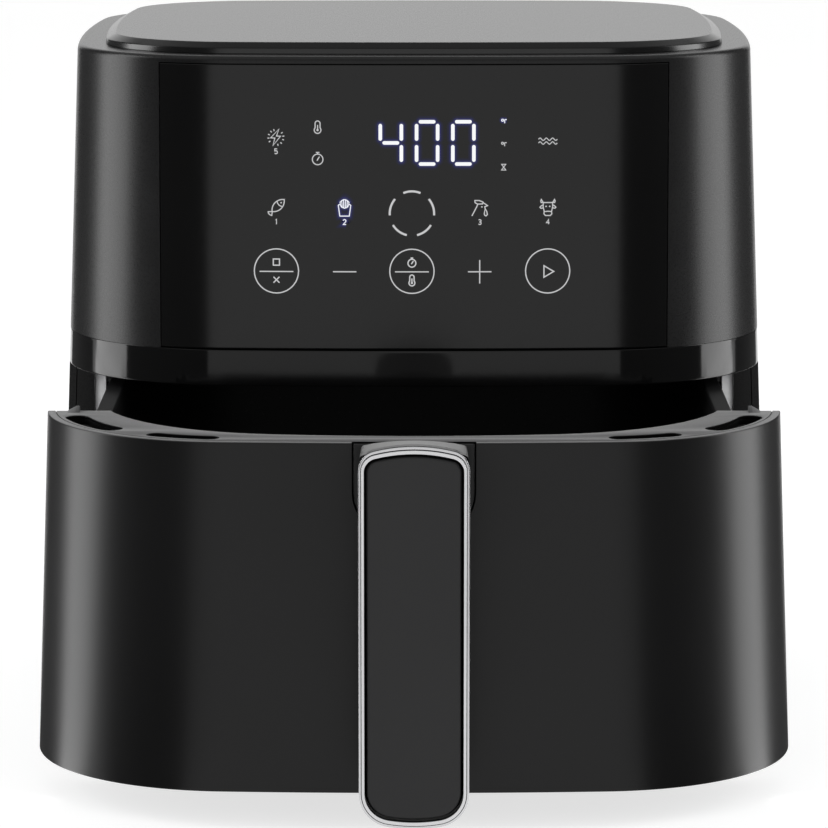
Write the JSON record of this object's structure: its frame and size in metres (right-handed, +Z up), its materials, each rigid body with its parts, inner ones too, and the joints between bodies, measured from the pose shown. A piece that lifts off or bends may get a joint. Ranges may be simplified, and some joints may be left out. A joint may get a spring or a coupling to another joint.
{
  "type": "air fryer",
  "caption": "Rounded-square countertop air fryer with a touch panel, a pull-out drawer holding a basket and crisper plate, a ring heater and a fan, and a vertical handle.",
  "frame": {"origin": "centre of the bounding box's foot plane, with the drawer drawn out as it rests", "axes": "+Z up, the front and the handle face -Y, +X to the right seen from the front"},
  "size_m": [0.29, 0.4388, 0.2768],
  "materials": {
    "housing_black": "fine satin texture",
    "cover_black": "semi-gloss",
    "trim_gloss": "high gloss",
    "panel_gloss": "polished touch surface with lit symbols",
    "base_black": "moulded",
    "foot_rubber": "matte",
    "liner_steel": "galvanised sheet",
    "coated_metal": "non-stick coating",
    "silver_trim": "satin silver",
    "handle_black": "satin",
    "heater_steel": "heat tinted",
    "wire_steel": "bright wire",
    "fan_aluminium": "stamped sheet",
    "motor_steel": "plain",
    "bush_brass": "sintered",
    "shaft_steel": "ground",
    "inner_plastic": "moulded",
    "board_green": "solder resist",
    "part_black": "moulded",
    "display_lens": "smoked",
    "silicone_grey": "soft matte"
  },
  "bodies": {
    "housing": {"base_plate": "base_black", "rubber_feet": "foot_rubber", "lower_housing": "housing_black", "trim_band": "trim_gloss", "upper_housing": "housing_black", "control_panel": "panel_gloss", "rear_vent_grille": "base_black", "top_cover": "cover_black", "cord_gland": "base_black", "cavity_frame": "base_black", "cavity_liner": "liner_steel", "chamber_collar": "liner_steel", "chamber_shell": "liner_steel", "left_rail": "inner_plastic", "right_rail": "inner_plastic", "heating_element": "heater_steel", "heater_hangers": "wire_steel", "heater_guard": "wire_steel", "temperature_probe": "shaft_steel", "motor_standoffs": "shaft_steel", "motor_bracket": "motor_steel", "motor": "motor_steel", "motor_bushes": "bush_brass", "exhaust_duct": "inner_plastic", "board_posts": "inner_plastic", "power_board": "board_green", "power_components": "part_black", "touch_board": "board_green", "display_module": "display_lens", "touch_posts": "inner_plastic", "thermal_cutout": "part_black", "interlock_switch": "part_black"},
    "drawer": {"drawer_front": "housing_black", "drawer_cap": "base_black", "basket": "coated_metal", "basket_bracket": "motor_steel", "handle_screws": "shaft_steel", "handle_arm": "handle_black", "handle_grip": "handle_black", "handle_frame": "silver_trim", "handle_face": "handle_black"},
    "crisper": {"crisper_plate": "coated_metal", "crisper_feet": "silicone_grey"},
    "fan_rotor": {"motor_shaft": "shaft_steel", "hot_air_fan": "fan_aluminium", "cooling_fan": "inner_plastic", "fan_nut": "shaft_steel"},
    "interlock_pin": {"interlock_plunger": "silicone_grey"}
  },
  "joints": [
    {"name": "drawer_slide", "type": "slide", "parent": "housing", "child": "drawer", "axis": [0, -1, 0], "range_m": [-0.1075, 0.15]},
    {"name": "crisper_lift", "type": "slide", "parent": "drawer", "child": "crisper", "axis": [0, 0, 1], "range_m": [0, 0.07]},
    {"name": "fan_spin", "type": "hinge", "parent": "housing", "child": "fan_rotor", "pos_m": [0, 0.07505, 0.18], "axis": [0, 0, 1], "continuous": true},
    {"name": "interlock_press", "type": "slide", "parent": "housing", "child": "interlock_pin", "axis": [0, 1, 0], "range_m": [0, 0.0025], "stiffness_N_per_m": 150}
  ]
}
